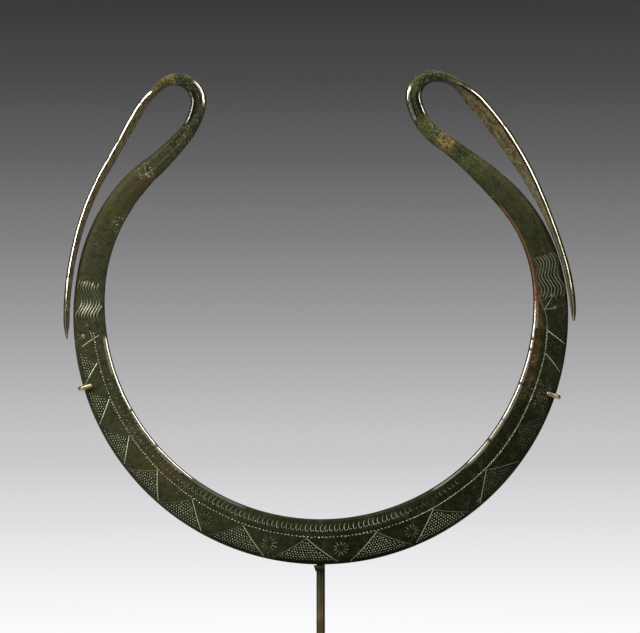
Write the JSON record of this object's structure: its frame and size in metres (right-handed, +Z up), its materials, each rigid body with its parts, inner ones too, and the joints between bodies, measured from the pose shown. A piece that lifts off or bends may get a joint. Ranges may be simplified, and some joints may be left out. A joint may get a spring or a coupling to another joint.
{
  "type": "bronze torc",
  "caption": "Ancient bronze neck ring with engraved face, hairpin loops and pointed spikes, held upright on its display stand.",
  "frame": {"origin": "the middle of the foot's flat underside, on the surface that it stands on", "axes": "+Z up the stem, +X to the right as the engraved face is seen, -Y out of the engraved face"},
  "size_m": [0.1791, 0.064, 0.2268],
  "materials": {
    "patinated_bronze": "dark olive-green patina with brown and pale crusted patches",
    "stand_brass": "toned olive-brown, satin",
    "clip_brass": "bare pale brass, satin",
    "foot_paint": "matt dark grey paint on steel"
  },
  "bodies": {
    "root": {"torc": "patinated_bronze", "bow": "stand_brass", "stem": "stand_brass", "seat": "stand_brass", "clip_left": "clip_brass", "clip_right": "clip_brass", "foot": "foot_paint"}
  },
  "joints": []
}
